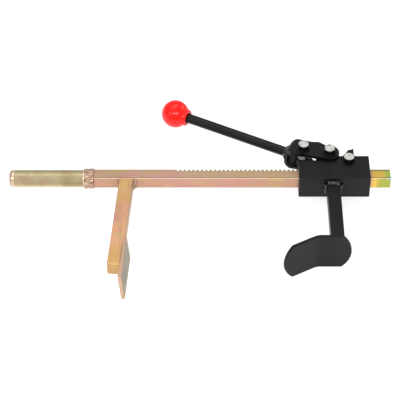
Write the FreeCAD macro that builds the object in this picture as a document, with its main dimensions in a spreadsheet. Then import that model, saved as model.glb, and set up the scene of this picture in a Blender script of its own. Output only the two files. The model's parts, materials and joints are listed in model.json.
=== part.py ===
import FreeCAD, Part
import math
import os
import Sketcher
from FreeCAD import Placement, Rotation, Vector

# Ratchet bead breaker: a toothed square bar with a round grip and a fixed wedge jaw, and a slider
# block with a bent shoe that a lever and two pawls walk along the teeth.
# Everything is drawn about the bar's axis: X along the bar, Y towards the teeth, Z up through the
# bolt heads. The last step moves the whole tool so that its origin is under the middle of its box.

doc = FreeCAD.newDocument("bead_breaker")
sheet = doc.addObject("Spreadsheet::Sheet", "dims")

DRIVING = {
    # main bar and its rack teeth
    "bar_side": 19.0,
    "bar_left": -167.0,
    "bar_right": 275.6,
    "edge_round": 0.8,
    "tooth_pitch": 6.2832,
    "tooth_count": 44,
    "first_valley": -31.6,
    "tooth_depth": 3.5,
    "valley_floor": 1.6,
    "valley_mouth": 4.86,
    # grip and its weld
    "grip_radius": 12.5,
    "grip_left": -275.6,
    "grip_end_round": 4.5,
    "collar_radius": 14.2,
    "collar_left": -167.0,
    "collar_right": -153.5,
    "collar_crown": 15.4,
    "collar_space": 40.0,
    # fixed jaw
    "arm_side": 20.0,
    "arm_place": -106.1,
    "arm_tilt": 4.0,
    "arm_length": 169.0,
    "wedge_thick": 5.0,
    "wedge_start": 127.0,
    "wedge_length": 77.0,
    "wedge_height": 44.0,
    "wedge_lean": 4.7,
    "arm_weld_inner": 6.0,
    "arm_weld_outer": 4.5,
    "weld_hollow": 0.3,
    "weld_bulge": 0.62,
    "weld_inset": 0.8,
    "wedge_back_bead": 4.0,
    "wedge_top_bead": 3.0,
    "wedge_bead_inset": 1.5,
    # slider block
    "block_left": 142.7,
    "block_right": 245.3,
    "block_half": 19.0,
    "block_back": 28.2,
    "block_round": 1.2,
    "step_place": 168.6,
    "bar_hole": 19.6,
    "slot_left": 151.0,
    "slot_right": 242.5,
    "slot_half": 8.5,
    "lug_radius": 12.0,
    # shoe
    "shoe_arm_place": 192.1,
    "shoe_arm_side": 19.0,
    "shoe_arm_end": -141.4,
    "shoe_thick": 5.0,
    "shoe_half": 30.0,
    "shoe_right": 210.5,
    "shoe_left_length": 48.0,
    "shoe_bend_place": 168.0,
    "shoe_bend_angle": 28.8,
    "shoe_bend_radius": 18.0,
    "shoe_sagitta": 13.0,
    "shoe_arm_bead": 5.0,
    "shoe_bead": 4.0,
    # pivots: lever fulcrum, drive pawl on the lever, hold pawl on the block
    "fulcrum_x": 188.0,
    "fulcrum_y": 30.6,
    "drive_x": 150.6,
    "drive_y": 39.6,
    "hold_x": 215.8,
    "hold_y": 19.4,
    # lever
    "strip_thick": 4.5,
    "yoke_corner": 1.8,
    "cheek_inside": 19.4,
    "low_cheek_inside": -8.6,
    "web_half": 11.0,
    "strip_bend": 11.0,
    "lobe_radius": 14.3,
    "low_lobe_radius": 12.0,
    "low_link_half": 8.0,
    "low_boss_radius": 10.0,
    "web_x": 128.2,
    "web_y": 49.3,
    "rod_angle": 152.8,
    "rod_radius": 7.2,
    "rod_reach": 185.6,
    "stud_radius": 6.0,
    "knob_radius": 20.8,
    "knob_neck_radius": 12.5,
    "knob_neck_reach": 21.6,
    "insert_radius": 9.0,
    "insert_length": 20.0,
    "stud_length": 19.0,
    "rod_bead_leg": 4.5,
    "knob_lip_round": 2.0,
    "knob_mouth_play": 1.5,
    "knob_mouth_depth": 3.2,
    # pawls
    "pawl_half": 6.0,
    "drive_hub": 11.0,
    "hold_hub": 8.6,
    "nose_gap": 0.4,
    "nose_play": 0.45,
    "nose_rise": 0.6,
    "pawl_corner": 1.2,
    # fasteners
    "bolt_radius": 5.0,
    "running_fit": 0.05,
    "hex_flats": 16.0,
    "crown_share": 0.9,
    "head_height": 6.8,
    "nut_height": 8.0,
    "thread_end": 1.5,
    "washer_thick": 1.2,
    "washer_radius": 10.0,
    "side_gap": 0.3,
    "spacer_radius": 7.2,
    # springs
    "drive_wire": 1.5,
    "drive_coil": 8.6,
    "drive_turns": 4.5,
    "hold_wire": 0.9,
    "hold_coil": 6.2,
    "coil_step": 1.08,
}

for row, (alias, number) in enumerate(DRIVING.items(), start=1):
    sheet.set(f"A{row}", alias)
    sheet.set(f"B{row}", str(number))
    sheet.setAlias(f"B{row}", alias)
doc.recompute()

NODES = []


def size(alias):
    return float(sheet.get(alias))


def node(thing, label):
    """Names a finished sub-part, so that it is checked and written under that name."""
    thing.Label = label
    NODES.append(thing)
    return thing


# ---------------------------------------------------------------- Part primitives and booleans


def primitive(kind, name, at=("0", "0", "0"), along="Z", spin=None, **sizes):
    """A Part primitive whose sizes and place are cell expressions, its axis along X, Y or Z."""
    made = doc.addObject("Part::" + kind, name)
    turns = {"X": Rotation(Vector(0, 1, 0), 90), "Y": Rotation(Vector(1, 0, 0), -90), "Z": Rotation()}
    turn = turns[along]
    if spin:
        turn = turn.multiply(Rotation(Vector(0, 0, 1), spin))
    made.Placement = Placement(Vector(), turn)
    for prop, text in sizes.items():
        made.setExpression(prop, text)
    for axis, text in zip("xyz", at):
        made.setExpression("Placement.Base." + axis, text)
    return made


def cut(name, base, tool):
    made = doc.addObject("Part::Cut", name)
    made.Base = base
    made.Tool = tool
    return made


def fuse(name, *shapes):
    made = doc.addObject("Part::MultiFuse", name)
    made.Shapes = list(shapes)
    return made


def common(name, *shapes):
    made = doc.addObject("Part::MultiCommon", name)
    made.Shapes = list(shapes)
    return made


# ---------------------------------------------------------------- PartDesign helpers


def attach(body, name, role, lift="0"):
    """A sketch on one of its own body's origin planes, lifted along the plane's normal."""
    sketch = body.newObject("Sketcher::SketchObject", name)
    plane = next(f for f in body.Origin.OriginFeatures if f.Role == role)
    sketch.AttachmentSupport = [(plane, "")]
    sketch.MapMode = "FlatFace"
    sketch.setExpression("AttachmentOffset.Base.z", lift)
    return sketch


def outline(body, name, role, corners, lift="0"):
    """A closed outline of straight lines; each corner is a pair of cell expressions."""
    sketch = attach(body, name, role, lift)
    count = len(corners)
    turn = 2 * math.pi / count
    start = [Vector(math.cos(k * turn), math.sin(k * turn), 0) for k in range(count)]
    for k in range(count):
        sketch.addGeometry(Part.LineSegment(start[k], start[(k + 1) % count]), False)
    for k in range(count):
        sketch.addConstraint(Sketcher.Constraint("Coincident", k, 2, (k + 1) % count, 1))
    for k, corner in enumerate(corners):
        for kind, text, now in zip(("DistanceX", "DistanceY"), corner, start[k]):
            index = sketch.addConstraint(Sketcher.Constraint(kind, k, 1, now))
            sketch.setExpression(f"Constraints[{index}]", text)
    return sketch


def ring(body, name, role, x, y, radius, lift="0"):
    """A circle whose centre and radius are cell expressions."""
    sketch = attach(body, name, role, lift)
    sketch.addGeometry(Part.Circle(Vector(0, 0, 0), Vector(0, 0, 1), 1.0), False)
    places = (("DistanceX", (0, 3, 0.0), x), ("DistanceY", (0, 3, 0.0), y), ("Radius", (0, 1.0), radius))
    for kind, numbers, text in places:
        index = sketch.addConstraint(Sketcher.Constraint(kind, *numbers))
        sketch.setExpression(f"Constraints[{index}]", text)
    return sketch


def pad(body, name, sketch, length, both_ways=True):
    made = body.newObject("PartDesign::Pad", name)
    made.Profile = sketch
    made.setExpression("Length", length)
    if both_ways:
        made.SideType = "Symmetric"
    return made


def pocket(body, name, sketch, length):
    """A pocket of that whole depth, half of it on each side of its sketch."""
    made = body.newObject("PartDesign::Pocket", name)
    made.Profile = sketch
    made.SideType = "Symmetric"
    made.setExpression("Length", length)
    return made


def round_edges(body, name, feature, radius, pick):
    """Rounds the edges of a feature for which pick(edge) is true."""
    doc.recompute()
    edges = [f"Edge{k}" for k, edge in enumerate(feature.Shape.Edges, start=1) if pick(edge)]
    made = body.newObject("PartDesign::Fillet", name)
    made.Base = (feature, edges)
    made.setExpression("Radius", radius)
    body.Tip = made
    return made


def new_body(label):
    return node(doc.addObject("PartDesign::Body", label), label)


# ---------------------------------------------------------------- bar, grip and fixed jaw


def make_main_bar():
    """Square bar with rounded edges and a row of rack teeth cut into its back face."""
    body = new_body("main_bar")
    half = "dims.bar_side / 2"
    square = [("-" + half, "-" + half), (half, "-" + half), (half, half), ("-" + half, half)]
    section = outline(body, "bar_section", "YZ_Plane", square, "dims.bar_left")
    stock = pad(body, "bar_stock", section, "dims.bar_right - dims.bar_left", both_ways=False)
    rounded = round_edges(body, "bar_edges", stock, "dims.edge_round", lambda edge: True)
    back = "dims.bar_side / 2"
    floor = "dims.bar_side / 2 - dims.tooth_depth"
    valley = outline(
        body,
        "valley_outline",
        "XY_Plane",
        [
            ("dims.first_valley - dims.valley_floor / 2", floor),
            ("dims.first_valley + dims.valley_floor / 2", floor),
            ("dims.first_valley + dims.valley_mouth / 2", back),
            ("dims.first_valley + dims.valley_mouth / 2", back + " + 2"),
            ("dims.first_valley - dims.valley_mouth / 2", back + " + 2"),
            ("dims.first_valley - dims.valley_mouth / 2", back),
        ],
    )
    first = pocket(body, "first_valley_cut", valley, "dims.bar_side + 2")
    doc.recompute()
    row = body.newObject("PartDesign::LinearPattern", "tooth_row")
    row.Originals = [first]
    row.Direction = (valley, ["H_Axis"])
    row.setExpression("Length", "dims.tooth_pitch * (dims.tooth_count - 1)")
    row.setExpression("Occurrences", "dims.tooth_count")
    body.Tip = row
    doc.recompute()
    assert row.Shape.Volume < rounded.Shape.Volume - size("tooth_count") * 150


def make_grip():
    """Round grip with a well rounded free end, and the weld collar that joins it to the bar."""
    body = new_body("grip_handle")
    section = ring(body, "grip_section", "YZ_Plane", "0", "0", "dims.grip_radius", "dims.grip_left")
    stock = pad(body, "grip_stock", section, "dims.bar_left - dims.grip_left", both_ways=False)
    free_end = size("grip_left")
    round_edges(
        body,
        "grip_end",
        stock,
        "dims.grip_end_round",
        lambda edge: abs(edge.BoundBox.XMax - free_end) < 0.01,
    )
    collar = primitive(
        "Cylinder",
        "collar_stock",
        ("dims.collar_left", "0", "0"),
        along="X",
        Radius="dims.collar_radius",
        Height="dims.collar_right - dims.collar_left",
    )
    crown = primitive(
        "Sphere",
        "collar_crown",
        ("(dims.collar_left + dims.collar_right) / 2", "0", "0"),
        Radius="dims.collar_crown",
    )
    half = "-dims.bar_side / 2"
    bar_space = primitive(
        "Box",
        "collar_bar_space",
        ("dims.bar_left", half, half),
        Length="dims.collar_space",
        Width="dims.bar_side",
        Height="dims.bar_side",
    )
    node(cut("collar", common("collar_barrel", collar, crown), bar_space), "grip_weld")


def arm_point(along, across):
    """A plan point as cell expressions: along the tilted fixed arm, and across it towards +X."""
    x = f"dims.arm_place - ({along}) * sin(dims.arm_tilt) + ({across}) * cos(dims.arm_tilt)"
    y = f"-dims.bar_side / 2 - ({along}) * cos(dims.arm_tilt) - ({across}) * sin(dims.arm_tilt)"
    return x, y


def make_fixed_arm():
    """Square arm welded to the bar's front face, a few degrees off square, flush with its top."""
    body = new_body("fixed_arm")
    half = "dims.arm_side / 2"
    corners = [
        ("dims.arm_place + dims.arm_side / 2 / cos(dims.arm_tilt)", "-dims.bar_side / 2"),
        ("dims.arm_place - dims.arm_side / 2 / cos(dims.arm_tilt)", "-dims.bar_side / 2"),
        arm_point("dims.arm_length", "-" + half),
        arm_point("dims.arm_length", half),
    ]
    lift = "(dims.bar_side - dims.arm_side) / 2"
    plan = outline(body, "arm_plan", "XY_Plane", corners, lift)
    stock = pad(body, "arm_stock", plan, "dims.arm_side")
    front = -size("bar_side") / 2 - 0.01
    round_edges(body, "arm_edges", stock, "dims.edge_round", lambda edge: edge.BoundBox.YMin < front)


def fillet_strip(length, leg):
    """A weld bead with a bulging face in the corner of the XY and XZ planes, along X."""
    corner, foot, top = Vector(), Vector(0, leg, 0), Vector(0, 0, leg)
    middle = foot.add(top).multiply(size("weld_bulge"))
    sides = [Part.LineSegment(corner, foot), Part.Arc(foot, middle, top), Part.LineSegment(top, corner)]
    face = Part.Face(Part.Wire([side.toShape() for side in sides]))
    return face.extrude(Vector(length, 0, 0))


def placed(shape, origin, x_axis, y_axis):
    """A copy of a shape with its own X and Y axes laid along the two directions given."""
    copy = shape.copy()
    z_axis = x_axis.cross(y_axis)
    copy.Placement = Placement(origin, Rotation(x_axis, y_axis, z_axis, "XYZ"))
    return copy


def feature(label, shape):
    """A sub-part whose shape is worked out from the sheet by Part's own functions."""
    made = doc.addObject("Part::Feature", label)
    made.Shape = shape
    return node(made, label)


X, Y, Z = Vector(1, 0, 0), Vector(0, 1, 0), Vector(0, 0, 1)


def make_fixed_arm_weld():
    """Hollow beads on both sides of the arm where it meets the bar's front face."""
    side = size("arm_side")
    half = side / 2
    place = size("arm_place")
    front = -size("bar_side") / 2
    top = size("bar_side") / 2
    reach = half / math.cos(math.radians(size("arm_tilt")))
    slope = math.tan(math.radians(size("arm_tilt")))
    beads = []
    for way, leg in ((1, size("arm_weld_inner")), (-1, size("arm_weld_outer"))):
        edge = place + way * reach
        corner = Vector(edge, front, top - side)
        on_bar = Vector(edge + way * leg, front, top - side)
        on_arm = Vector(edge - leg * slope, front - leg, top - side)
        chord = on_bar.add(on_arm).multiply(0.5)
        hollow = chord.add(corner.sub(chord).multiply(size("weld_hollow")))
        sides = [
            Part.LineSegment(corner, on_bar),
            Part.Arc(on_bar, hollow, on_arm),
            Part.LineSegment(on_arm, corner),
        ]
        face = Part.Face(Part.Wire([part.toShape() for part in sides]))
        beads.append(face.extrude(Z * (side - size("weld_inset"))))
    feature("fixed_arm_weld", Part.makeCompound(beads))


def wedge_frame():
    """The wedge plate's frame: X through its thickness, Y back along the arm, Z up its height."""
    tilt = math.radians(size("arm_tilt"))
    half = size("arm_side") / 2
    top = size("bar_side") / 2
    along = Vector(math.sin(tilt), math.cos(tilt), 0)
    across = Vector(math.cos(tilt), -math.sin(tilt), 0)
    lean = math.tan(math.radians(size("wedge_lean")))
    root = Vector(size("arm_place"), -size("bar_side") / 2, 0)
    origin = root.sub(along * size("wedge_start")).add(across * (half + top * lean))
    turn = Rotation(across, along, Z, "XYZ")
    return Placement(origin, turn.multiply(Rotation(Vector(0, 1, 0), -size("wedge_lean"))))


def make_wedge():
    """Flat wedge plate on the arm's inner side, leaning a little, its front end past the arm's."""
    thick, length, height = size("wedge_thick"), size("wedge_length"), size("wedge_height")
    plate = Part.makeBox(thick, length, height, Vector(0, -length, -height / 2))
    made = feature("wedge_plate", plate.makeFillet(size("edge_round"), plate.Edges))
    made.Placement = wedge_frame()


def make_wedge_weld():
    """The bead that fills the narrow gap under the leaning plate, along the arm's top and back."""
    half = size("arm_side") / 2
    top = size("bar_side") / 2
    inset = size("wedge_bead_inset")
    run = size("arm_length") - size("wedge_start") - inset
    back = fillet_strip(size("arm_side") - 2 * inset, size("wedge_back_bead"))
    tilt = math.radians(size("arm_tilt"))
    along = Vector(math.sin(tilt), math.cos(tilt), 0)
    across = Vector(math.cos(tilt), -math.sin(tilt), 0)
    root = Vector(size("arm_place"), -size("bar_side") / 2, 0)
    start = root.sub(along * size("wedge_start")).add(across * half)
    end_bead = placed(back, start.add(Z * (top - size("arm_side") + inset)), Z, across)
    wedge = doc.getObject("wedge_plate").Shape
    upper = start.add(Z * top).sub(along * run)
    top_bead = placed(fillet_strip(run, size("wedge_top_bead")), upper, along, across.negative())
    arm = doc.getObject("fixed_arm").Shape
    beads = [end_bead.cut(wedge).cut(arm), top_bead.cut(wedge).cut(arm)]
    feature("wedge_weld", Part.makeCompound([solid for bead in beads for solid in bead.Solids]))


# ---------------------------------------------------------------- slider


def make_slider_block():
    """Block bored square for the bar, slotted behind for the pawls, with a lug for the fulcrum."""
    body = new_body("slider_block")
    plan = outline(
        body,
        "block_plan",
        "XY_Plane",
        [
            ("dims.block_left", "-dims.block_half"),
            ("dims.block_right", "-dims.block_half"),
            ("dims.block_right", "dims.block_back"),
            ("dims.step_place", "dims.block_back"),
            ("dims.step_place", "dims.block_half"),
            ("dims.block_left", "dims.block_half"),
        ],
    )
    stock = pad(body, "block_stock", plan, "dims.block_half * 2")
    round_edges(body, "block_edges", stock, "dims.block_round", lambda edge: True)
    left, right = "dims.fulcrum_x - dims.lug_radius", "dims.fulcrum_x + dims.lug_radius"
    root = "dims.block_back - 4"
    web = [(left, root), (right, root), (right, "dims.fulcrum_y"), (left, "dims.fulcrum_y")]
    pad(body, "lug_web", outline(body, "lug_web_plan", "XY_Plane", web), "dims.block_half * 2")
    eye = ring(body, "lug_eye", "XY_Plane", "dims.fulcrum_x", "dims.fulcrum_y", "dims.lug_radius")
    pad(body, "lug_round", eye, "dims.block_half * 2")
    half = "dims.bar_hole / 2"
    square = [("-" + half, "-" + half), (half, "-" + half), (half, half), ("-" + half, half)]
    middle = "(dims.block_left + dims.block_right) / 2"
    bore = outline(body, "bar_hole_outline", "YZ_Plane", square, middle)
    pocket(body, "bar_hole_cut", bore, "dims.block_right - dims.block_left + 4")
    back = "dims.fulcrum_y + dims.lug_radius + 2"
    slot = [
        ("dims.slot_left", "0"),
        ("dims.slot_right", "0"),
        ("dims.slot_right", back),
        ("dims.slot_left", back),
    ]
    pocket(body, "pawl_slot", outline(body, "slot_plan", "XY_Plane", slot), "dims.slot_half * 2")
    low_inside, low_outside = "dims.low_cheek_inside", "dims.low_cheek_inside - dims.strip_thick"
    front = "dims.fulcrum_y - dims.low_lobe_radius - 1"
    cheek_slot = [
        ("dims.slot_left", front),
        ("dims.fulcrum_x + dims.low_lobe_radius + 2", front),
        ("dims.fulcrum_x + dims.low_lobe_radius + 2", back),
        ("dims.slot_left", back),
    ]
    lift = f"(({low_inside}) + ({low_outside})) / 2"
    plan = outline(body, "cheek_slot_plan", "XY_Plane", cheek_slot, lift)
    pocket(body, "cheek_slot", plan, "dims.strip_thick + 2 * dims.side_gap")
    for name in ("fulcrum", "hold"):
        hole = ring(
            body, name + "_hole", "XY_Plane", f"dims.{name}_x", f"dims.{name}_y", "dims.bolt_radius"
        )
        body.Tip = pocket(body, name + "_hole_cut", hole, "dims.block_half * 2 + 4")


def make_shoe_arm():
    """Square arm from the block's front face to the shoe."""
    body = new_body("shoe_arm")
    half = "dims.shoe_arm_side / 2"
    left, right = f"dims.shoe_arm_place - {half}", f"dims.shoe_arm_place + {half}"
    near, far = "-dims.block_half", "dims.shoe_arm_end"
    corners = [(left, far), (right, far), (right, near), (left, near)]
    plan = outline(body, "shoe_arm_plan", "XY_Plane", corners)
    stock = pad(body, "shoe_arm_stock", plan, "dims.shoe_arm_side")
    long_ones = lambda edge: edge.BoundBox.YLength > 10
    round_edges(body, "shoe_arm_edges", stock, "dims.edge_round", long_ones)


def arm_weld(wall, way, leg):
    """Four beads round the shoe arm, in the corner that it makes with a wall facing way * Y."""
    place, side = size("shoe_arm_place"), size("shoe_arm_side")
    half = side / 2
    out = Vector(0, way, 0)
    run = side - 2 * size("weld_inset")
    beads = []
    for turn in range(4):
        angle = math.radians(90 * turn)
        normal = Vector(math.cos(angle), 0, math.sin(angle))
        along = out.cross(normal)
        corner = Vector(place, wall, 0).add(normal * half).sub(along * (run / 2))
        beads.append(placed(fillet_strip(run, leg), corner, along, out))
    return Part.makeCompound(beads)


def end_cutter(tip, outward, flat, sagitta, half):
    """What to take off a flat blade, of normal flat, to leave a round end at its tip."""
    radius = (half**2 + sagitta**2) / (2 * sagitta)
    wide = 2 * half
    block = Part.makeBox(2 * sagitta, wide, 2 * wide, Vector(-1.2 * sagitta, -wide / 2, -wide))
    drum = Part.makeCylinder(radius, 2 * wide, Vector(-radius, -wide, 0), Vector(0, 1, 0))
    cutter = block.cut(drum)
    cutter.Placement = Placement(tip, Rotation(outward, flat, Z, "XYZ"))
    return cutter


def make_shoe():
    """Bent shoe plate: flat behind the arm's end, then turned towards the front, with round ends."""
    thick, half, bend = size("shoe_thick"), size("shoe_half"), size("shoe_bend_radius")
    angle = math.radians(size("shoe_bend_angle"))
    back = size("shoe_arm_end")
    front = back - thick
    start = size("shoe_bend_place")
    centre = Vector(start, front - bend, 0)

    def on_arc(radius, turn):
        return centre.add(Vector(-math.sin(turn), math.cos(turn), 0) * radius)

    outward = Vector(-math.cos(angle), -math.sin(angle), 0)
    length = size("shoe_left_length")
    outer, inner = bend + thick, bend
    right_back, right_front = Vector(size("shoe_right"), back, 0), Vector(size("shoe_right"), front, 0)
    left_back = on_arc(outer, angle).add(outward * length)
    left_front = on_arc(inner, angle).add(outward * length)
    edges = [
        Part.LineSegment(right_back, on_arc(outer, 0)),
        Part.Arc(on_arc(outer, 0), on_arc(outer, angle / 2), on_arc(outer, angle)),
        Part.LineSegment(on_arc(outer, angle), left_back),
        Part.LineSegment(left_back, left_front),
        Part.LineSegment(left_front, on_arc(inner, angle)),
        Part.Arc(on_arc(inner, angle), on_arc(inner, angle / 2), on_arc(inner, 0)),
        Part.LineSegment(on_arc(inner, 0), right_front),
        Part.LineSegment(right_front, right_back),
    ]
    face = Part.Face(Part.Wire([edge.toShape() for edge in edges]))
    face.translate(Vector(0, 0, -half))
    blade = face.extrude(Vector(0, 0, 2 * half))
    sagitta = size("shoe_sagitta")
    right_tip = right_back.add(right_front).multiply(0.5)
    left_tip = left_back.add(left_front).multiply(0.5)
    blade = blade.cut(end_cutter(right_tip, X, Y, sagitta, half))
    flat = Z.cross(outward)
    blade = blade.cut(end_cutter(left_tip, outward, flat, sagitta, half))
    long_edges = [edge for edge in blade.Edges if edge.Length > 2 * thick]
    feature("shoe_plate", blade.makeFillet(size("edge_round"), long_edges))


# ---------------------------------------------------------------- lever


def pivot(name):
    return Vector(size(name + "_x"), size(name + "_y"), 0)


def lever_frame():
    """Origin in the middle of the yoke's web, on its outer face, with Z along the rod."""
    angle = math.radians(size("rod_angle"))
    rod = Vector(math.cos(angle), math.sin(angle), 0)
    top = size("cheek_inside") + size("strip_thick")
    bottom = size("low_cheek_inside") - size("strip_thick")
    middle = pivot("web").add(Z * ((top + bottom) / 2))
    return Placement(middle, Rotation(Z, rod.cross(Z), rod, "XYZ"))


def slab(face_or_wire, low, high):
    """A flat outline turned into a solid between two heights."""
    face = Part.Face(face_or_wire)
    face.translate(Z * low)
    return face.extrude(Z * (high - low))


def rounded_plan(corners, radius, low, high):
    """A solid of a plan outline between two heights, its corners rounded."""
    solid = slab(Part.makePolygon([*corners, corners[0]]), low, high)
    upright = [edge for edge in solid.Edges if edge.BoundBox.ZLength > (high - low) / 2]
    return solid.makeFillet(radius, upright)


def disc(centre, radius, low, high):
    return Part.makeCylinder(radius, high - low, centre.add(Z * low))


def u_strip(low, high, inward):
    """A wide strip bent to a U that opens inwards, its web's outer face through the web pivot."""
    thick, bend = size("strip_thick"), size("strip_bend")
    reach, width = 95.0, 80.0
    outer = Part.makeBox(reach, width, high - low, Vector(0, -width / 2, low))
    gap = high - low - 2 * thick
    inner = Part.makeBox(reach, width + 20, gap, Vector(thick, -width / 2 - 10, low + thick))

    def round_web(solid, place, radius):
        folds = [
            edge
            for edge in solid.Edges
            if abs(edge.BoundBox.XMax - place) < 0.01 and edge.BoundBox.YLength > width / 2
        ]
        return solid.makeFillet(radius, folds)

    strip = round_web(outer, 0, bend).cut(round_web(inner, thick, bend - thick))
    strip.Placement = Placement(pivot("web"), Rotation(inward, Z.cross(inward), Z, "XYZ"))
    return strip


def make_lever_yoke():
    """Steel strip bent to a U: its web takes the rod, and its two cheeks hold the block's lug."""
    high = size("cheek_inside") + size("strip_thick")
    low = size("low_cheek_inside") - size("strip_thick")
    middle = (high + low) / 2
    angle = math.radians(size("rod_angle"))
    inward = Vector(-math.cos(angle), -math.sin(angle), 0)
    across = Z.cross(inward)
    web, eye, drive = pivot("web"), pivot("fulcrum"), pivot("drive")
    strip = u_strip(low, high, inward)

    def by_web(along, aside):
        return web.add(inward * along).add(across * aside)

    half = size("web_half")
    upper_corners = [
        by_web(-1, half),
        by_web(3.5, half),
        Vector(140.2, 59.4, 0),
        Vector(146.0, 57.8, 0),
        Vector(163.5, 52.6, 0),
        Vector(174.0, 52.2, 0),
        eye.add(Vector(-3.4, 13.6, 0)),
        eye.add(Vector(6.0, 0, 0)),
        eye.add(Vector(-8.0, -11.6, 0)),
        Vector(168.0, 20.9, 0),
        Vector(160.0, 23.2, 0),
        Vector(152.0, 26.4, 0),
        Vector(137.5, 26.4, 0),
        Vector(131.5, 28.8, 0),
        by_web(3.5, -half),
        by_web(-1, -half),
    ]
    corner = size("yoke_corner")
    upper = rounded_plan(upper_corners, corner, middle, high + 1)
    upper = upper.fuse(disc(eye, size("lobe_radius"), middle, high + 1)).removeSplitter()
    boss = size("low_boss_radius")
    lower_corners = [
        by_web(-1, half),
        by_web(9, half),
        drive.add(Vector(2, boss - 0.2, 0)),
        drive.add(Vector(2, 0.2 - boss, 0)),
        by_web(9, -half),
        by_web(-1, -half),
    ]
    lower = rounded_plan(lower_corners, corner, low - 1, middle)
    link = eye.sub(drive)
    side = Z.cross(link).normalize() * size("low_link_half")
    link_corners = [drive.add(side), drive.sub(side), eye.sub(side), eye.add(side)]
    lower = lower.multiFuse(
        [
            slab(Part.makePolygon([*link_corners, link_corners[0]]), low - 1, middle),
            disc(drive, boss, low - 1, middle),
            disc(eye, size("low_lobe_radius"), low - 1, middle),
        ]
    ).removeSplitter()
    yoke = strip.common(upper).fuse(strip.common(lower)).removeSplitter()
    fit = size("bolt_radius") + size("running_fit")
    yoke = yoke.cut(disc(eye, fit, low - 1, high + 1))
    yoke = yoke.cut(disc(drive, size("bolt_radius"), low - 1, high + 1))
    feature("lever_yoke", yoke)


def make_lever_rod():
    """Round rod welded to the web, turned down at its free end, with a ball knob on an insert."""
    lip = "dims.rod_reach - dims.knob_neck_reach"
    shoulder = lip + " + dims.knob_mouth_depth"
    rod = primitive("Cylinder", "rod_bar", Radius="dims.rod_radius", Height=shoulder)
    stud = primitive(
        "Cylinder", "rod_stud", ("0", "0", shoulder), Radius="dims.stud_radius", Height="dims.stud_length"
    )
    bead = primitive(
        "Cone",
        "rod_bead",
        Radius1="dims.rod_radius + dims.rod_bead_leg",
        Radius2="dims.rod_radius",
        Height="dims.rod_bead_leg",
    )
    bead_space = primitive(
        "Cylinder", "rod_bead_space", Radius="dims.rod_radius", Height="2 * dims.rod_bead_leg"
    )
    ball = primitive("Sphere", "knob_ball", ("0", "0", "dims.rod_reach"), Radius="dims.knob_radius")
    neck_at = ("0", "0", lip + " + dims.knob_lip_round")
    lip_middle = "dims.knob_neck_radius - dims.knob_lip_round"
    neck = primitive(
        "Cylinder", "knob_neck", neck_at, Radius="dims.knob_neck_radius", Height="dims.knob_neck_reach"
    )
    lip_ring = primitive(
        "Torus", "knob_lip", neck_at, Radius1=lip_middle, Radius2="dims.knob_lip_round"
    )
    lip_disc = primitive(
        "Cylinder", "knob_lip_disc", ("0", "0", lip), Radius=lip_middle, Height="dims.knob_mouth_depth"
    )
    mouth = primitive(
        "Cylinder",
        "knob_mouth",
        ("0", "0", lip + " - 1"),
        Radius="dims.rod_radius + dims.knob_mouth_play",
        Height="dims.knob_mouth_depth + 1",
    )
    deep, wide = "dims.insert_length", "dims.insert_radius"
    socket = primitive("Cylinder", "knob_socket", ("0", "0", shoulder), Radius=wide, Height=deep)
    insert = primitive("Cylinder", "insert_stock", ("0", "0", shoulder), Radius=wide, Height=deep)
    insert_bore = primitive(
        "Cylinder",
        "insert_bore",
        ("0", "0", shoulder),
        Radius="dims.stud_radius",
        Height="dims.stud_length",
    )
    finished = {
        "lever_rod": fuse("rod", rod, stud),
        "lever_weld": cut("rod_weld", bead, bead_space),
        "lever_knob": cut(
            "knob", fuse("knob_solid", ball, neck, lip_ring, lip_disc), fuse("knob_hollow", mouth, socket)
        ),
        "knob_insert": cut("insert", insert, insert_bore),
    }
    for label, thing in finished.items():
        thing.Placement = lever_frame()
        node(thing, label)


# ---------------------------------------------------------------- pawls


def nose(valley):
    """Four plan points of a pawl's nose in a tooth valley, which clears its floor and flanks."""
    back = size("bar_side") / 2
    flank = (size("valley_mouth") - size("valley_floor")) / 2 / size("tooth_depth")
    tip = back - size("tooth_depth") + size("nose_gap")
    top = back + size("nose_rise")
    middle = size("first_valley") + valley * size("tooth_pitch")
    tip_half = size("valley_floor") / 2 + size("nose_gap") * flank - size("nose_play")
    top_half = tip_half + (top - tip) * flank
    return [
        Vector(middle - top_half, top, 0),
        Vector(middle - tip_half, tip, 0),
        Vector(middle + tip_half, tip, 0),
        Vector(middle + top_half, top, 0),
    ]


def pawl(label, centre, hub, corners, soft):
    """A flat pawl on a round hub, bored to run on its bolt; soft corners are rounded."""
    half = size("pawl_half")
    face = Part.Face(Part.makePolygon([*corners, corners[0]]))
    face.translate(Vector(0, 0, -half))
    blade = face.extrude(Vector(0, 0, 2 * half))

    def is_soft(edge):
        upright = edge.BoundBox.ZLength > half
        place = Vector(edge.BoundBox.XMin, edge.BoundBox.YMin, 0)
        return upright and any(place.distanceToPoint(corner) < 0.01 for corner in soft)

    blade = blade.makeFillet(size("pawl_corner"), [edge for edge in blade.Edges if is_soft(edge)])
    eye = Part.makeCylinder(hub, 2 * half, centre.sub(Z * half))
    bore = Part.makeCylinder(
        size("bolt_radius") + size("running_fit"), 2 * half + 2, centre.sub(Z * (half + 1))
    )
    feature(label, blade.fuse(eye).cut(bore).removeSplitter())


def make_drive_pawl():
    """Curved pawl on the lever that reaches under the fulcrum bolt and pushes the bar's teeth."""
    centre = pivot("drive")

    def at(x, y):
        return centre.add(Vector(x, y, 0))

    under = [at(-6.5, -8.7), at(0.5, -17.5), at(9.0, -24.6), at(19.5, -29.0)]
    over = [at(42.0, -26.8), at(41.6, -23.8), at(37.6, -24.4), at(32.0, -26.0)]
    rise = [at(25.0, -22.6), at(19.2, -16.0), at(14.6, -6.0), at(10.4, 1.0)]
    corners = [*under, *nose(35), *over, *rise, at(0, 0)]
    pawl("drive_pawl", centre, size("drive_hub"), corners, under[1:3] + over + rise[:3])


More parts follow.
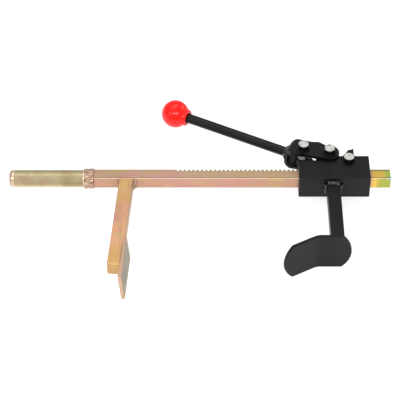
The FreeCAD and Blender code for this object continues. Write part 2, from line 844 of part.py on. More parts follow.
def make_hold_pawl():
    """Pawl on the block that keeps what the lever has gained, with a thumb tail to free it."""
    centre = pivot("hold")

    def at(x, y):
        return centre.add(Vector(x, y, 0))

    under = [at(-4.0, -7.4), at(3.0, -9.0)]
    head = [at(25.4, -6.0), at(25.0, -1.0), at(12.0, 3.6), at(9.6, 9.0)]
    tail = [at(9.8, 38.2), at(6.6, 35.4), at(2.0, 34.8), at(-4.8, 23.6), at(-8.2, 12.0), at(-8.4, 1.0)]
    corners = [*under, *nose(43), *head, *tail]
    pawl("hold_pawl", centre, size("hold_hub"), corners, head + tail[2:5])


# ---------------------------------------------------------------- fasteners


def hexagon(name, x, y, low, height, crown_up=True):
    """A hexagon across-flats as the sheet says, one corner to the front, crowned on one face."""
    across = "dims.hex_flats / 2"
    prism = primitive(
        "Prism", name + "_hex", (x, y, low), spin=30, Circumradius=across + " / cos(30)", Height=height
    )
    narrow = across + " * dims.crown_share"
    wide = f"{narrow} + ({height}) / tan(30)"
    first, second = (wide, narrow) if crown_up else (narrow, wide)
    crown = primitive(
        "Cone", name + "_crown", (x, y, low), Radius1=first, Radius2=second, Height=height
    )
    return common(name + "_hexagon", prism, crown)


def shank(name, x, y, low, height, radius="dims.bolt_radius"):
    return primitive("Cylinder", name, (x, y, low), Radius=radius, Height=height)


def washer(name, x, y, low):
    plate = shank(name + "_disc", x, y, low, "dims.washer_thick", "dims.washer_radius")
    hole = shank(name + "_hole", x, y, low, "dims.washer_thick")
    return cut(name, plate, hole)


def nut(name, x, y, low):
    body = hexagon(name, x, y, low, "dims.nut_height", crown_up=False)
    return cut(name, body, shank(name + "_thread", x, y, low, "dims.nut_height"))


def bolt(name, x, y, seat, low):
    """A hex bolt: its head stands on seat, and its end is at low."""
    head = hexagon(name, x, y, seat, "dims.head_height")
    return fuse(name, head, shank(name + "_shank", x, y, low, f"({seat}) - ({low})"))


def group(label, *shapes):
    """Identical fasteners kept as separate solids in one node."""
    made = doc.addObject("Part::Compound", label + "_set")
    made.Links = list(shapes)
    return node(made, label)


def make_fasteners():
    """Three bolts with their nuts and washers, and the spacers that centre the drive pawl."""
    thick, nut_height, thread_end = "dims.washer_thick", "dims.nut_height", "dims.thread_end"
    drive, fulcrum, hold = [(f"dims.{name}_x", f"dims.{name}_y") for name in ("drive", "fulcrum", "hold")]

    top = "dims.cheek_inside + dims.strip_thick"
    bottom = "dims.low_cheek_inside - dims.strip_thick"
    drive_nut = f"{bottom} - {thick} - {nut_height}"
    node(bolt("lever_bolt", *drive, f"{top} + {thick}", f"{drive_nut} - {thread_end}"), "drive_pawl_bolt")
    node(nut("lever_nut", *drive, drive_nut), "drive_pawl_nut")
    group(
        "drive_pawl_washers",
        washer("drive_top_washer", *drive, top),
        washer("drive_low_washer", *drive, f"{bottom} - {thick}"),
    )
    beside = "dims.pawl_half + dims.side_gap"
    lengths = {
        "top": (beside, f"dims.cheek_inside - ({beside})"),
        "low": ("dims.low_cheek_inside", f"-({beside}) - dims.low_cheek_inside"),
    }
    spacers = []
    for name, (low, length) in lengths.items():
        sleeve = shank(name + "_spacer_stock", *drive, low, length, "dims.spacer_radius")
        spacers.append(cut(name + "_spacer", sleeve, shank(name + "_spacer_bore", *drive, low, length)))
    group("drive_pawl_spacers", *spacers)

    clear = f"{top} + dims.side_gap"
    under = f"-dims.block_half - {thick}"
    slider_nut = f"{under} - {nut_height}"
    slider_end = f"{slider_nut} - {thread_end}"
    node(bolt("pivot_bolt", *fulcrum, f"{clear} + {thick}", slider_end), "fulcrum_bolt")
    node(bolt("pawl_bolt", *hold, "dims.block_half", slider_end), "hold_pawl_bolt")
    group("slider_nuts", nut("fulcrum_nut", *fulcrum, slider_nut), nut("hold_nut", *hold, slider_nut))
    group(
        "slider_washers",
        washer("fulcrum_top_washer", *fulcrum, clear),
        washer("fulcrum_low_washer", *fulcrum, under),
        washer("hold_low_washer", *hold, under),
    )


def coil_spring(label, centre, wire, coil, turns, legs):
    """A torsion spring round a bolt, on top of its pawl, that runs on into a straight leg at each end."""
    pitch = wire * size("coil_step")
    base = centre.add(Z * (size("pawl_half") + size("side_gap") + wire / 2))
    helix = Part.makeHelix(pitch, pitch * turns, coil)
    helix.translate(base)

    def on_helix(angle):
        out = Vector(math.cos(angle), math.sin(angle), 0)
        place = base.add(out * coil).add(Z * (pitch * angle / math.tau))
        ahead = Vector(-math.sin(angle), math.cos(angle), pitch / math.tau / coil).normalize()
        return place, ahead

    first, last = on_helix(0), on_helix(math.tau * turns)
    section = Part.Wire(Part.Circle(*first, wire / 2).toShape())
    spring = Part.Wire(helix.Edges).makePipeShell([section], True, True)
    for (place, ahead), way, length in zip((first, last), (-1, 1), legs):
        spring = spring.fuse(Part.makeCylinder(wire / 2, length, place, ahead * way))
    feature(label, spring)


def hook_spring(label, centre, wire, coil, legs):
    """A wire bent three quarters of a turn round a bolt, on top of its pawl, with a leg at each end."""
    base = centre.add(Z * (size("pawl_half") + size("side_gap") + wire / 2))
    loop = Part.makeTorus(coil, wire / 2, base, Z, -180, 180, 270)
    first = Part.makeCylinder(wire / 2, legs[0], base.add(X * coil), Y.negative())
    last = Part.makeCylinder(wire / 2, legs[1], base.sub(Y * coil), X)
    feature(label, loop.fuse(first).fuse(last))


def make_springs():
    """Springs that press the two pawls into the teeth: a coil on the lever, a hook in the block."""
    coil_spring(
        "drive_pawl_spring",
        pivot("drive"),
        size("drive_wire"),
        size("drive_coil"),
        size("drive_turns"),
        (8, 9),
    )
    hook_spring("hold_pawl_spring", pivot("hold"), size("hold_wire"), size("hold_coil"), (2, 8))


make_main_bar()
make_grip()
make_fixed_arm()
make_fixed_arm_weld()
make_wedge()
doc.recompute()
make_wedge_weld()
make_slider_block()
make_shoe_arm()
feature("shoe_arm_weld", arm_weld(-size("block_half"), -1, size("shoe_arm_bead")))
make_shoe()
feature("shoe_weld", arm_weld(size("shoe_arm_end"), 1, size("shoe_bead")))
make_lever_yoke()
make_lever_rod()
make_drive_pawl()
make_hold_pawl()
make_fasteners()
make_springs()
doc.recompute()


def stand_on_origin():
    """Moves every sub-part alike, so that the origin is under the middle of the whole tool's box."""
    box = Part.makeCompound([thing.Shape for thing in NODES]).optimalBoundingBox(False, False)
    shift = Vector(-box.Center.x, -box.Center.y, -box.ZMin)
    for thing in NODES:
        thing.Placement = Placement(shift, Rotation()).multiply(thing.Placement)
    doc.recompute()
    print(f"bar axis at Y {shift.y:.4f} Z {shift.z:.4f}, moved X {shift.x:.4f}")
    print(f"box {box.XLength:.2f} x {box.YLength:.2f} x {box.ZLength:.2f} mm")


stand_on_origin()


def check_and_write():
    """Refuses a failed object or a bad shape, then writes one STEP file for each sub-part."""
    for thing in doc.Objects:
        assert not {"Invalid", "Error"} & set(thing.State), (thing.Name, thing.State)
    os.makedirs("parts", exist_ok=True)
    for thing in NODES:
        shape = thing.Shape
        assert not shape.isNull() and shape.isValid(), thing.Label
        print(f"{thing.Label:18s} {len(shape.Solids)} solids {shape.Volume:10.1f} mm3")
        shape.exportStep(os.path.join("parts", thing.Label + ".step"))


check_and_write()
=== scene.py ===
import json
import math

import bmesh
import bpy
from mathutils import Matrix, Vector, noise

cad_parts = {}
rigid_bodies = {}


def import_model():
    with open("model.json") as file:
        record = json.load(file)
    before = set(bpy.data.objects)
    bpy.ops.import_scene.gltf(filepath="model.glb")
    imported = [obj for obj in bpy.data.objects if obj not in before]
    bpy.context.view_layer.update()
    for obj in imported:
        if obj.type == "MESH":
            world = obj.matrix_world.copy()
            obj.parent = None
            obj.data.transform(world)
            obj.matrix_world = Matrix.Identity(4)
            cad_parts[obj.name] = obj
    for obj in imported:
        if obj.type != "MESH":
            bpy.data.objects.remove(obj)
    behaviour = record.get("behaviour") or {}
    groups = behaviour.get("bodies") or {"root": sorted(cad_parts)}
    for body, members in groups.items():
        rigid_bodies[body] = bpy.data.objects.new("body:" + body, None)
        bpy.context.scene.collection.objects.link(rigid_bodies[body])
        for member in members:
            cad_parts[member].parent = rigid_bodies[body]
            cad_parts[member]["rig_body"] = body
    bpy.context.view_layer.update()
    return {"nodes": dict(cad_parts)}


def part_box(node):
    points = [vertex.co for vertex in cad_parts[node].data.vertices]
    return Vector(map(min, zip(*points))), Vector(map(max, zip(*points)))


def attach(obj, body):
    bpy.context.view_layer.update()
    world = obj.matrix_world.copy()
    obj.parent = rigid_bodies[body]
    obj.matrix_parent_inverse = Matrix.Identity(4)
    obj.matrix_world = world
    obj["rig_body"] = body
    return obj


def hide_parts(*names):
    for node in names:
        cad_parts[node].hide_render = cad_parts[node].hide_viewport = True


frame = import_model()

MM = 0.001
RIGHT, BACK, UP = Vector((1, 0, 0)), Vector((0, 1, 0)), Vector((0, 0, 1))
ROD_ANGLE = math.radians(152.8)


# ---------------------------------------------------------------- places read from the frame


def centre(node):
    low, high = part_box(node)
    return (low + high) / 2


GRIP_LOW, GRIP_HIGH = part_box("grip_handle")
BAR_LOW, BAR_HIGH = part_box("main_bar")
AXIS = Vector((0, centre("grip_handle").y, centre("grip_handle").z))
ROD_WAY = Vector((math.cos(ROD_ANGLE), math.sin(ROD_ANGLE), 0))


def by_axis(x, y, z):
    """A point given in millimetres from the bar's axis, above the middle of the tool."""
    return AXIS + Vector((x, y, z)) * MM


# ---------------------------------------------------------------- materials


def screen(red, green, blue):
    """A colour as it is seen on a screen, 0 to 255, made linear for a shader."""

    def linear(level):
        share = level / 255
        return share / 12.92 if share <= 0.04045 else ((share + 0.055) / 1.055) ** 2.4

    return (linear(red), linear(green), linear(blue), 1.0)


class Finish:
    """A material's node tree, and the few patterns that every finish here is mixed from."""

    def __init__(self, name, **settings):
        self.material = bpy.data.materials.new(name)
        self.material.use_nodes = True
        self.tree = self.material.node_tree
        self.shader = self.tree.nodes["Principled BSDF"]
        for socket, level in settings.items():
            self.shader.inputs[socket.replace("_", " ")].default_value = level
        where = self.tree.nodes.new("ShaderNodeTexCoord")
        self.place = where.outputs["Object"]
        self.facing = where.outputs["Normal"]
        self.bumps = None

    def add(self, kind, inputs=(), **settings):
        made = self.tree.nodes.new(kind)
        for setting, choice in settings.items():
            setattr(made, setting, choice)
        for socket, source in dict(inputs).items():
            self.give(made.inputs[socket], source)
        return made

    def give(self, socket, source):
        if isinstance(source, bpy.types.NodeSocket):
            self.tree.links.new(source, socket)
        else:
            socket.default_value = source

    def stretched(self, along):
        """Object coordinates squeezed along each axis, so that a pattern runs as streaks."""
        return self.add("ShaderNodeMapping", {"Vector": self.place, "Scale": along}).outputs[0]

    def cloud(self, size, detail=3.0, rough=0.5, along=(1, 1, 1)):
        """Soft noise from 0 to 1, with patches of about that size in metres."""
        made = self.add(
            "ShaderNodeTexNoise",
            {
                "Vector": self.stretched(along),
                "Scale": 1 / size,
                "Detail": detail,
                "Roughness": rough,
            },
        )
        return made.outputs["Fac"]

    def between(self, source, low, high, smooth=True):
        """0 where the source is at low or less, 1 where it is at high or more."""
        kind = "SMOOTHSTEP" if smooth else "LINEAR"
        made = self.add(
            "ShaderNodeMapRange",
            {"Value": source, "From Min": low, "From Max": high},
            interpolation_type=kind,
        )
        return made.outputs["Result"]

    def level(self, source, low, high):
        """The source, from 0 to 1, as a value from low to high."""
        return self.add("ShaderNodeMapRange", {"Value": source, "To Min": low, "To Max": high}).outputs[0]

    def math(self, operation, first, second=0.0):
        return self.add("ShaderNodeMath", {0: first, 1: second}, operation=operation).outputs[0]

    def both(self, first, second):
        """The product of two shares, high only where both of them are."""
        return self.math("MULTIPLY", first, second)

    def part(self, vector, axis):
        return self.add("ShaderNodeSeparateXYZ", {0: vector}).outputs[axis]

    def spot(self, point, radius, ragged=0.0):
        """1 close to a point, fading to 0 at the radius, with a ragged edge."""
        measured = self.add("ShaderNodeVectorMath", {0: self.place, 1: point}, operation="DISTANCE")
        away = measured.outputs["Value"]
        if ragged:
            away = self.math("ADD", away, self.both(self.cloud(radius * 0.6), ragged * radius))
        return self.between(away, radius, radius * 0.25)

    def ramp(self, source, *stops):
        made = self.add("ShaderNodeValToRGB", {"Fac": source})
        steps = made.color_ramp.elements
        while len(steps) < len(stops):
            steps.new(0.5)
        for step, (where, colour) in zip(steps, stops):
            step.position = where
            step.color = colour
        return made.outputs["Color"]

    def blend(self, share, first, second, how="MIX"):
        made = self.add("ShaderNodeMix", data_type="RGBA", blend_type=how)
        self.give(made.inputs["Factor"], share)
        self.give(made.inputs[6], first)
        self.give(made.inputs[7], second)
        return made.outputs[2]

    def bump(self, height, strength, depth):
        """Adds relief of that depth in metres on top of any relief that is there already."""
        made = self.add("ShaderNodeBump", {"Height": height, "Strength": strength, "Distance": depth})
        if self.bumps:
            self.give(made.inputs["Normal"], self.bumps)
        self.bumps = made.outputs["Normal"]
        self.give(self.shader.inputs["Normal"], self.bumps)

    def finish(self, colour, roughness):
        self.give(self.shader.inputs["Base Color"], colour)
        self.give(self.shader.inputs["Roughness"], roughness)
        return self.material


SALMON = screen(216, 168, 150)
ROSE = screen(214, 160, 156)
ORANGE = screen(222, 168, 134)
GOLD = screen(226, 188, 116)
YELLOW = screen(240, 198, 92)
BROWN = screen(202, 174, 140)
OLIVE = screen(168, 158, 112)
GREEN = screen(188, 200, 96)
CYAN = screen(140, 190, 184)
MAGENTA = screen(204, 138, 150)
PAINTED_HIGHLIGHT = screen(240, 214, 196)
DARK_OLIVE = screen(118, 104, 74)


def plating(name, streak_along, patches, roughness=(0.3, 0.44)):
    """Yellow passivated zinc: a soft bloom of a few tints, with fine drawn streaks and specks."""
    coat = Finish(name, Metallic=0.85)
    bloom = coat.ramp(coat.cloud(0.05, 3.0, 0.55), *patches)
    streaks = coat.cloud(0.009, 5.0, 0.65, streak_along)
    colour = coat.blend(coat.level(coat.between(streaks, 0.35, 0.7), 0.0, 0.4), bloom, OLIVE)
    specks = coat.cloud(0.0022, 4.0, 0.7)
    colour = coat.blend(coat.level(coat.between(specks, 0.56, 0.72), 0.0, 0.4), colour, DARK_OLIVE)
    coat.bump(coat.cloud(0.0016, 5.0, 0.7, streak_along), 0.22, 0.00006)
    coat.bump(coat.cloud(0.0035, 3.0), 0.12, 0.0001)
    rough = coat.level(coat.cloud(0.02, 4.0, 0.6), *roughness)
    return coat, colour, rough


def bar_plating():
    patches = ((0.3, ROSE), (0.45, SALMON), (0.58, BROWN), (0.75, ORANGE))
    coat, colour, rough = plating("bar_plating", (0.06, 1, 1), patches)
    x, y = coat.part(coat.place, 0), coat.part(coat.place, 1)
    ahead, up = coat.part(coat.facing, 1), coat.part(coat.facing, 2)
    top = coat.between(up, 0.6, 0.9)
    middle = coat.between(x, by_axis(-80, 0, 0).x, by_axis(10, 0, 0).x)
    colour = coat.blend(coat.both(coat.both(top, middle), 0.6), colour, BROWN)
    # Painted shade: faces turned to the front get a darker salmon than the top.
    front = coat.between(ahead, -0.35, -0.85)
    colour = coat.blend(coat.both(front, 0.55), colour, screen(186, 134, 120))
    blotch = coat.between(coat.cloud(0.011, 5.0, 0.7, (0.35, 1, 1)), 0.52, 0.66)
    colour = coat.blend(coat.both(blotch, 0.5), colour, screen(196, 178, 104))
    blush = coat.between(coat.cloud(0.016, 4.0, 0.6, (0.4, 1, 1.3)), 0.55, 0.7)
    colour = coat.blend(coat.both(blush, 0.45), colour, screen(206, 134, 140))
    span = coat.between(x, by_axis(244, 0, 0).x, BAR_HIGH.x, smooth=False)
    bloom = coat.ramp(span, (0.0, ORANGE), (0.25, YELLOW), (0.6, YELLOW), (0.82, GREEN), (1.0, GREEN))
    colour = coat.blend(coat.between(span, 0.02, 0.2), colour, bloom)
    green = coat.both(front, coat.between(span, 0.25, 0.5))
    colour = coat.blend(coat.both(green, 0.85), colour, screen(166, 172, 80))
    corner = coat.spot((BAR_HIGH.x, BAR_LOW.y, BAR_HIGH.z), 9 * MM, 0.3)
    colour = coat.blend(coat.both(corner, 0.8), colour, CYAN)
    # Painted dark reflection: a broken dark line on the top, just behind the front edge.
    painted_dark_strip = coat.between(y, BAR_LOW.y + 3.0 * MM, BAR_LOW.y + 1.6 * MM)
    broken = coat.level(coat.cloud(0.012), 0.4, 1.0)
    line = coat.both(coat.both(painted_dark_strip, top), broken)
    colour = coat.blend(coat.both(line, 0.9), colour, DARK_OLIVE)
    # Painted highlight: the rounded edge between the top and the front is pale.
    edge = coat.between(coat.both(up, coat.both(ahead, -1.0)), 0.12, 0.4)
    colour = coat.blend(coat.both(edge, 0.8), colour, PAINTED_HIGHLIGHT)
    fringe = coat.between(y, BAR_HIGH.y - 5.5 * MM, BAR_HIGH.y - 3.0 * MM)
    teeth = coat.between(x, by_axis(-36, 0, 0).x, by_axis(-33, 0, 0).x)
    colour = coat.blend(coat.both(fringe, teeth), colour, OLIVE)
    return coat.finish(colour, rough)


def arm_plating():
    patches = ((0.3, ORANGE), (0.5, screen(228, 172, 134)), (0.68, GOLD), (0.82, ROSE))
    coat, colour, rough = plating("arm_plating", (1, 0.08, 1), patches)
    spots = (
        (by_axis(-108, -20, 9), 30 * MM, GOLD, 0.8),
        (by_axis(-117, -160, 9), 32 * MM, screen(208, 168, 98), 0.8),
        (by_axis(-112, -122, 9), 10 * MM, GREEN, 0.6),
        (by_axis(-121, -88, 9), 24 * MM, MAGENTA, 0.65),
    )
    for point, radius, tint, strength in spots:
        share = coat.both(coat.spot(point, radius, 0.5), strength)
        colour = coat.blend(share, colour, tint)
    blotch = coat.between(coat.cloud(0.012, 5.0, 0.7, (1, 0.5, 1)), 0.52, 0.66)
    colour = coat.blend(coat.both(blotch, 0.5), colour, screen(214, 176, 88))
    blush = coat.between(coat.cloud(0.017, 4.0, 0.6, (1.2, 0.5, 1)), 0.54, 0.68)
    colour = coat.blend(coat.both(blush, 0.5), colour, screen(204, 138, 134))
    aside = coat.part(coat.facing, 0)
    # Painted shade: faces turned to +X get a darker olive.
    side = coat.between(aside, 0.35, 0.85)
    colour = coat.blend(coat.both(side, 0.7), colour, screen(146, 118, 88))
    # Painted shade: a darker line along the rounded edge between the top and the +X side.
    edge = coat.between(coat.both(aside, coat.part(coat.facing, 2)), 0.12, 0.4)
    colour = coat.blend(coat.both(edge, 0.6), colour, DARK_OLIVE)
    # Painted shade: the end face turned to the front gets a duller, darker tint.
    end = coat.between(coat.part(coat.facing, 1), -0.4, -0.9)
    colour = coat.blend(coat.both(end, 0.8), colour, screen(190, 154, 104))
    return coat.finish(colour, rough)


def wedge_plating():
    patches = ((0.3, BROWN), (0.6, SALMON), (0.8, ROSE))
    coat, colour, rough = plating("wedge_plating", (1, 0.1, 1), patches, (0.34, 0.5))
    # Painted shade: faces turned to +X get a dark grey olive, in clouds.
    flat = coat.between(coat.part(coat.facing, 0), 0.5, 0.9)
    cloudy = coat.level(coat.cloud(0.02, 4.0), 0.6, 1.0)
    colour = coat.blend(coat.both(flat, cloudy), colour, screen(98, 100, 78))
    return coat.finish(colour, rough)


def knurl_plating():
    """Dull olive gold diamonds with painted shade in the valleys, and pinkish plain bands at both ends."""
    coat = Finish("knurl_plating", Metallic=0.85)
    x = coat.part(coat.place, 0)
    gold = ((0.35, screen(214, 196, 152)), (0.55, screen(238, 226, 188)), (0.75, screen(224, 192, 166)))
    tint = coat.ramp(coat.cloud(0.03, 3.0), *gold)
    out = coat.add("ShaderNodeVectorMath", {0: coat.place, 1: AXIS}, operation="SUBTRACT").outputs["Vector"]
    flat = coat.add("ShaderNodeVectorMath", {0: out, 1: (0, 1, 1)}, operation="MULTIPLY").outputs["Vector"]
    away = coat.add("ShaderNodeVectorMath", {0: flat}, operation="LENGTH").outputs["Value"]
    radius = (GRIP_HIGH.y - GRIP_LOW.y) / 2
    # Painted shade: darker towards the bottom of each valley between the diamonds.
    valley_shade = coat.between(away, radius - 0.05 * MM, radius - 0.4 * MM)
    colour = coat.blend(coat.both(valley_shade, 0.75), tint, screen(136, 120, 86))
    left = coat.between(x, GRIP_LOW.x + 7 * MM, GRIP_LOW.x + 2 * MM)
    right = coat.between(x, GRIP_HIGH.x - 14 * MM, GRIP_HIGH.x)
    ends = coat.math("MAXIMUM", coat.both(left, 0.8), coat.both(right, 0.4))
    colour = coat.blend(ends, colour, screen(206, 168, 158))
    worn = coat.cloud(0.004, 4.0, 0.6)
    coat.bump(coat.cloud(0.0008, 3.0), 0.2, 0.00005)
    return coat.finish(coat.blend(coat.level(worn, 0.0, 0.3), colour, OLIVE), coat.level(worn, 0.3, 0.46))


def bead_plating():
    """Plated weld metal: pinkish grey with burnt dark patches and bright crests."""
    coat = Finish("bead_plating", Metallic=0.85)
    tint = coat.ramp(
        coat.cloud(0.006, 4.0, 0.6),
        (0.3, screen(104, 82, 60)),
        (0.42, screen(166, 138, 114)),
        (0.58, screen(190, 156, 138)),
        (0.72, screen(226, 202, 176)),
    )
    coat.bump(coat.cloud(0.0016, 4.0), 0.4, 0.00015)
    return coat.finish(tint, coat.level(coat.cloud(0.004), 0.22, 0.42))


def black_paint(name, shade=7, roughness=(0.36, 0.5), relief=0.00012, gloss=0.27):
    """Satin black paint with a slight orange peel and faint dust."""
    coat = Finish(name, Metallic=0.0)
    coat.shader.inputs["Specular IOR Level"].default_value = gloss
    dark, pale = screen(shade, shade, shade), screen(shade + 16, shade + 15, shade + 14)
    dust = coat.cloud(0.018, 5.0, 0.65)
    colour = coat.blend(coat.between(dust, 0.5, 0.8), dark, pale)
    coat.bump(coat.cloud(0.0014, 2.0), 0.35, relief)
    coat.bump(coat.cloud(0.012, 2.0), 0.1, 0.0004)
    return coat.finish(colour, coat.level(dust, *roughness))


def bolt_steel():
    """Bright crowned top faces; the sides of the heads and the shanks dark grey."""
    steel = Finish("bolt_steel", Metallic=0.7)
    up = steel.between(steel.part(steel.facing, 2), 0.86, 0.95)
    scratch = steel.cloud(0.003, 5.0, 0.7, (0.3, 1, 1))
    mottle = steel.cloud(0.0045, 5.0, 0.7)
    grey, pale, white = screen(120, 120, 114), screen(220, 220, 214), screen(244, 244, 240)
    bright = steel.ramp(mottle, (0.34, grey), (0.46, pale), (0.7, white))
    head = steel.between(steel.part(steel.place, 2), AXIS.z + 15 * MM, AXIS.z + 15.5 * MM)
    colour = steel.blend(steel.both(up, head), screen(30, 30, 30), bright)
    steel.bump(scratch, 0.25, 0.00008)
    return steel.finish(colour, steel.level(scratch, 0.3, 0.48))


def drawn_steel():
    steel = Finish("drawn_steel", Metallic=1.0)
    lines = steel.cloud(0.0012, 4.0, 0.6, (1, 1, 0.3))
    steel.bump(lines, 0.2, 0.00004)
    tint = steel.ramp(lines, (0.3, screen(120, 122, 126)), (0.7, screen(168, 170, 172)))
    return steel.finish(tint, steel.level(lines, 0.25, 0.4))


def red_plastic():
    gloss = Finish("red_plastic", Metallic=0.0, Coat_Weight=0.12, Coat_Roughness=0.16)
    flow = gloss.cloud(0.016, 3.0)
    tint = gloss.ramp(flow, (0.35, screen(244, 14, 10)), (0.7, screen(255, 26, 18)))
    gloss.shader.inputs["Specular IOR Level"].default_value = 0.3
    return gloss.finish(tint, gloss.level(flow, 0.2, 0.26))


def turned_brass():
    brass = Finish("turned_brass", Metallic=1.0)
    rings = brass.cloud(0.0015, 3.0)
    brass.bump(rings, 0.2, 0.00005)
    tint = brass.ramp(rings, (0.3, screen(190, 150, 82)), (0.7, screen(216, 180, 110)))
    return brass.finish(tint, brass.level(rings, 0.25, 0.38))


BLACK = black_paint("black_paint")
SHOE_BLACK = black_paint("shoe_black", shade=11, roughness=(0.4, 0.55))
ROD_BLACK = black_paint("rod_black", shade=8, roughness=(0.2, 0.3), relief=0.00005, gloss=0.22)
BEAD_BLACK = black_paint("bead_black", shade=12, roughness=(0.14, 0.28), relief=0.0002, gloss=0.7)
DARK_STEEL = black_paint("dark_steel", shade=30, roughness=(0.3, 0.42))
BOLT_STEEL = bolt_steel()
SPRING_STEEL = drawn_steel()
BEAD_PLATING = bead_plating()

CARRIED_OVER = {
    "main_bar": bar_plating(),
    "fixed_arm": arm_plating(),
    "wedge_plate": wedge_plating(),
    "slider_block": BLACK,
    "shoe_arm": BLACK,
    "shoe_plate": SHOE_BLACK,
    "lever_yoke": BLACK,
    "lever_rod": ROD_BLACK,
    "drive_pawl": BLACK,
    "hold_pawl": BLACK,
    "drive_pawl_bolt": BOLT_STEEL,
    "fulcrum_bolt": BOLT_STEEL,
    "hold_pawl_bolt": BOLT_STEEL,
    "drive_pawl_nut": DARK_STEEL,
    "slider_nuts": DARK_STEEL,
    "drive_pawl_washers": DARK_STEEL,
    "slider_washers": DARK_STEEL,
    "drive_pawl_spacers": SPRING_STEEL,
    "drive_pawl_spring": SPRING_STEEL,
    "hold_pawl_spring": SPRING_STEEL,
    "knob_insert": turned_brass(),
}

for node_name, finish in CARRIED_OVER.items():
    for material_slot in frame["nodes"][node_name].material_slots:
        material_slot.material = finish


# ---------------------------------------------------------------- new pieces


def piece(name, mesh, material, node, smooth=True):
    """Puts a finished mesh in the scene in place of a CAD node, on that node's body."""
    made = bpy.data.objects.new(name, mesh)
    bpy.context.scene.collection.objects.link(made)
    mesh.materials.clear()
    mesh.materials.append(material)
    mesh.polygons.foreach_set("use_smooth", [smooth] * len(mesh.polygons))
    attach(made, frame["nodes"][node]["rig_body"])
    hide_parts(node)
    return made


def turned(profile, start, way, steps):
    """A bmesh spun from a profile of (along, radius) points in metres, closed at its poles."""
    work = bmesh.new()
    side = way.cross(UP).normalized()
    points = [work.verts.new(start + way * along + side * radius) for along, radius in profile]
    for first, second in zip(points, points[1:]):
        work.edges.new((first, second))
    bmesh.ops.spin(
        work,
        geom=work.verts[:] + work.edges[:],
        cent=start,
        axis=way,
        angle=math.tau,
        steps=steps,
        use_merge=True,
    )
    bmesh.ops.remove_doubles(work, verts=work.verts[:], dist=1e-6)
    bmesh.ops.recalc_face_normals(work, faces=work.faces[:])
    return work


def arc(middle, radius, start, end, count):
    """Profile points round (along, radius) middle, from one angle to another in degrees."""
    turns = [math.radians(start + (end - start) * k / count) for k in range(count + 1)]
    return [(middle[0] + radius * math.cos(turn), middle[1] + radius * math.sin(turn)) for turn in turns]


def mesh_of(work, name):
    mesh = bpy.data.meshes.new(name)
    work.to_mesh(mesh)
    work.free()
    return mesh


def make_grip():
    """Knurled grip: diamond points from a well rounded free end to the weld collar."""
    radius = (GRIP_HIGH.y - GRIP_LOW.y) / 2
    length = GRIP_HIGH.x - GRIP_LOW.x
    round_end, rows, around, depth = 4.5 * MM, 124, 90, 0.4 * MM
    knurl_start, knurl_end = 6 * MM, length - 1.5 * MM
    profile = [(0, 0), (0, radius * 0.35)] + arc((round_end, radius - round_end), round_end, 180, 90, 8)
    step = (knurl_end - knurl_start) / rows
    profile += [(knurl_start + step * k, radius) for k in range(rows + 1)]
    profile += [(length, radius), (length, 0)]
    work = turned(profile, Vector((GRIP_LOW.x, AXIS.y, AXIS.z)), RIGHT, around)
    for point in work.verts:
        along = point.co.x - GRIP_LOW.x
        out = Vector((0, point.co.y - AXIS.y, point.co.z - AXIS.z))
        row = round((along - knurl_start) / step)
        if not 0 < row < rows or out.length < radius / 2:
            continue
        column = round(math.atan2(out.z, out.y) / math.tau * around)
        if (row + column) % 2:
            point.co -= out.normalized() * depth
    mesh = mesh_of(work, "knurled_grip")
    return piece("knurled_grip", mesh, knurl_plating(), "grip_handle", smooth=False)


def make_knob():
    """Ball knob with a rolled lip round the rod and a fine moulding line round its middle."""
    low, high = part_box("lever_knob")
    radius = (high.z - low.z) / 2
    insert_to_ball, reach = 8.4 * MM, 21.6 * MM
    neck, lip, mouth, recess = 12.5 * MM, 2 * MM, 8.7 * MM, 3.2 * MM
    seam, seam_half = 0.12 * MM, 0.5 * MM
    meet = math.degrees(math.asin(neck / radius))
    profile = [(-reach + recess, 0), (-reach + recess, mouth), (-reach, mouth)]
    profile += arc((-reach + lip, neck - lip), lip, 180, 90, 8)
    over = arc((0, 0), radius, 180 - meet, 0, 48)
    profile += [(x, y + seam if abs(x) < seam_half else y) for x, y in over]
    ball = centre("knob_insert") + ROD_WAY * insert_to_ball
    work = turned(profile, ball, ROD_WAY, 96)
    return piece("ball_knob", mesh_of(work, "ball_knob"), red_plastic(), "lever_knob")


def remeshed(node, voxel):
    """The surface of a CAD node's merged mesh, rebuilt in small even faces."""
    work = bmesh.new()
    work.from_mesh(frame["nodes"][node].data)
    bmesh.ops.remove_doubles(work, verts=work.verts[:], dist=1e-6)
    mesh = mesh_of(work, node + "_surface")
    rough = bpy.data.objects.new(node + "_surface", mesh)
    bpy.context.scene.collection.objects.link(rough)
    remesh = rough.modifiers.new("even", "REMESH")
    remesh.mode = "VOXEL"
    remesh.voxel_size = voxel
    bpy.context.view_layer.update()
    made = bpy.data.meshes.new_from_object(rough.evaluated_get(bpy.context.evaluated_depsgraph_get()))
    bpy.data.objects.remove(rough)
    return made


def make_bead(node, material, run, ripple, height, voxel=0.45 * MM):
    """A weld bead with stacked ripples; run(point) is the distance along the bead."""
    mesh = remeshed(node, voxel)
    work = bmesh.new()
    work.from_mesh(mesh)
    bpy.data.meshes.remove(mesh)
    work.normal_update()
    moves = []
    for point in work.verts:
        lump = noise.noise(point.co / (4 * MM))
        wave = math.sin(math.tau * run(point.co) / ripple + 1.5 * lump)
        moves.append(point.normal * (height * (0.55 * wave + 0.9 * lump)))
    for point, move in zip(work.verts, moves):
        point.co += move
    bmesh.ops.smooth_vert(
        work, verts=work.verts[:], factor=0.35, use_axis_x=True, use_axis_y=True, use_axis_z=True
    )
    name = node.replace("_weld", "_weld_bead")
    return piece(name, mesh_of(work, name), material, node)


def round_the(middle, way, radius):
    """Distance along a bead that goes round an axis."""
    across = way.orthogonal().normalized()
    other = way.cross(across)

    def run(point):
        out = point - middle
        return math.atan2(out.dot(other), out.dot(across)) * radius

    return run


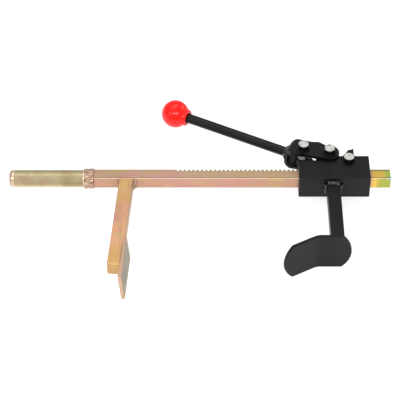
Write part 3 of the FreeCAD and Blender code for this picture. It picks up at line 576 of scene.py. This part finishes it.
def make_beads():
    collar = round_the(AXIS, RIGHT, 14 * MM)
    shoe_arm = round_the(centre("shoe_arm"), BACK, 11 * MM)
    rod = round_the(centre("lever_rod"), ROD_WAY, 9 * MM)
    make_bead("grip_weld", BEAD_PLATING, collar, 4.2 * MM, 0.6 * MM)
    make_bead("fixed_arm_weld", BEAD_PLATING, lambda point: point.z, 2.2 * MM, 0.22 * MM)
    make_bead("wedge_weld", BEAD_PLATING, lambda point: point.y, 2.2 * MM, 0.2 * MM, 0.3 * MM)
    make_bead("shoe_arm_weld", BEAD_BLACK, shoe_arm, 3.0 * MM, 0.7 * MM)
    make_bead("shoe_weld", BEAD_BLACK, shoe_arm, 2.2 * MM, 0.3 * MM)
    make_bead("lever_weld", BEAD_BLACK, rod, 2.2 * MM, 0.35 * MM)


make_grip()
make_knob()
make_beads()


# ---------------------------------------------------------------- floor, light and camera


def make_floor():
    work = bmesh.new()
    bmesh.ops.create_grid(work, x_segments=8, y_segments=8, size=6.0)
    floor = bpy.data.objects.new("floor", mesh_of(work, "floor"))
    bpy.context.scene.collection.objects.link(floor)
    paint = Finish("floor_paint", Metallic=0.0, Emission_Color=(1, 1, 1, 1), Emission_Strength=0.72)
    paint.shader.inputs["Specular IOR Level"].default_value = 0.1
    tone = paint.ramp(paint.cloud(0.8, 2.0), (0.3, (0.5, 0.5, 0.5, 1)), (0.7, (0.52, 0.52, 0.52, 1)))
    floor.data.materials.append(paint.finish(tone, 0.9))


def softbox(name, place, aim, power, size):
    lamp = bpy.data.lights.new(name, "AREA")
    lamp.shape = "RECTANGLE"
    lamp.size, lamp.size_y = size
    lamp.energy = power
    made = bpy.data.objects.new(name, lamp)
    made.location = place
    made.rotation_euler = (aim - place).to_track_quat("-Z", "Y").to_euler()
    bpy.context.scene.collection.objects.link(made)


def make_light():
    world = bpy.data.worlds.new("studio")
    world.use_nodes = True
    world.node_tree.nodes["Background"].inputs["Color"].default_value = (1, 1, 1, 1)
    world.node_tree.nodes["Background"].inputs["Strength"].default_value = 0.5
    bpy.context.scene.world = world
    softbox("overhead", by_axis(-300, 500, 1700), AXIS, 9, (1.6, 1.0))
    softbox("left_front", by_axis(-1500, -900, 1100), AXIS, 6, (0.9, 0.9))
    softbox("right_back", by_axis(1300, 900, 1000), AXIS, 4, (0.8, 0.8))
    softbox("over_the_camera", by_axis(0, -1900, 2000), AXIS, 34, (2.2, 0.35))


def make_camera():
    lens = bpy.data.cameras.new("camera")
    lens.sensor_width = 36
    lens.lens = 149
    camera = bpy.data.objects.new("camera", lens)
    camera.location = by_axis(0, -1719, 1675)
    aim = by_axis(0, -22, -22)
    camera.rotation_euler = (aim - camera.location).to_track_quat("-Z", "Y").to_euler()
    bpy.context.scene.collection.objects.link(camera)
    bpy.context.scene.camera = camera


make_floor()
make_light()
make_camera()
bpy.context.scene.view_settings.view_transform = "Standard"
